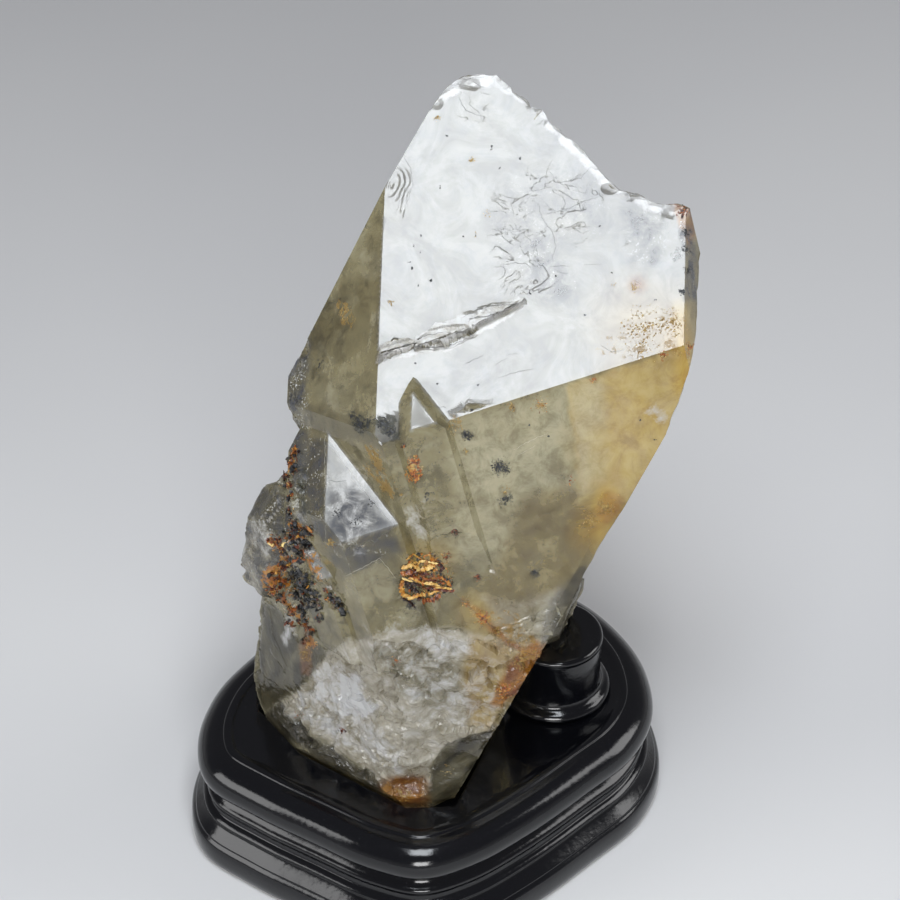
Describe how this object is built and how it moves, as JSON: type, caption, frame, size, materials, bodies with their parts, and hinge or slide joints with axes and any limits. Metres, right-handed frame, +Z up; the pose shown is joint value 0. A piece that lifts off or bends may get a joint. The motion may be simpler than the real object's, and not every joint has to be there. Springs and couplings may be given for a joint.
{
  "type": "himalayan quartz cluster",
  "caption": "Smoky Himalayan quartz cluster with limonite stains, a broken foot and parallel crystal points, upright in the socket of a black lacquered stand.",
  "frame": {"origin": "under the middle of the whole object, on the stand's flat underside", "axes": "+Z up, -Y the side the stone is shown from, +X to the viewer's right"},
  "size_m": [0.1334, 0.1236, 0.2104],
  "materials": {
    "lacquer": "high-gloss black lacquer over carved hardwood",
    "quartz": "clear to cloudy smoky quartz, bright crystal faces, iron-stained seams",
    "iron_crust": "matte flaky iron oxide, yellow to dark red-brown",
    "dark_crust": "matte greenish-black mineral grains"
  },
  "bodies": {
    "root": {"stand_plinth": "lacquer", "stand_board": "lacquer", "support_post": "lacquer", "quartz_cluster": "quartz"}
  },
  "joints": []
}
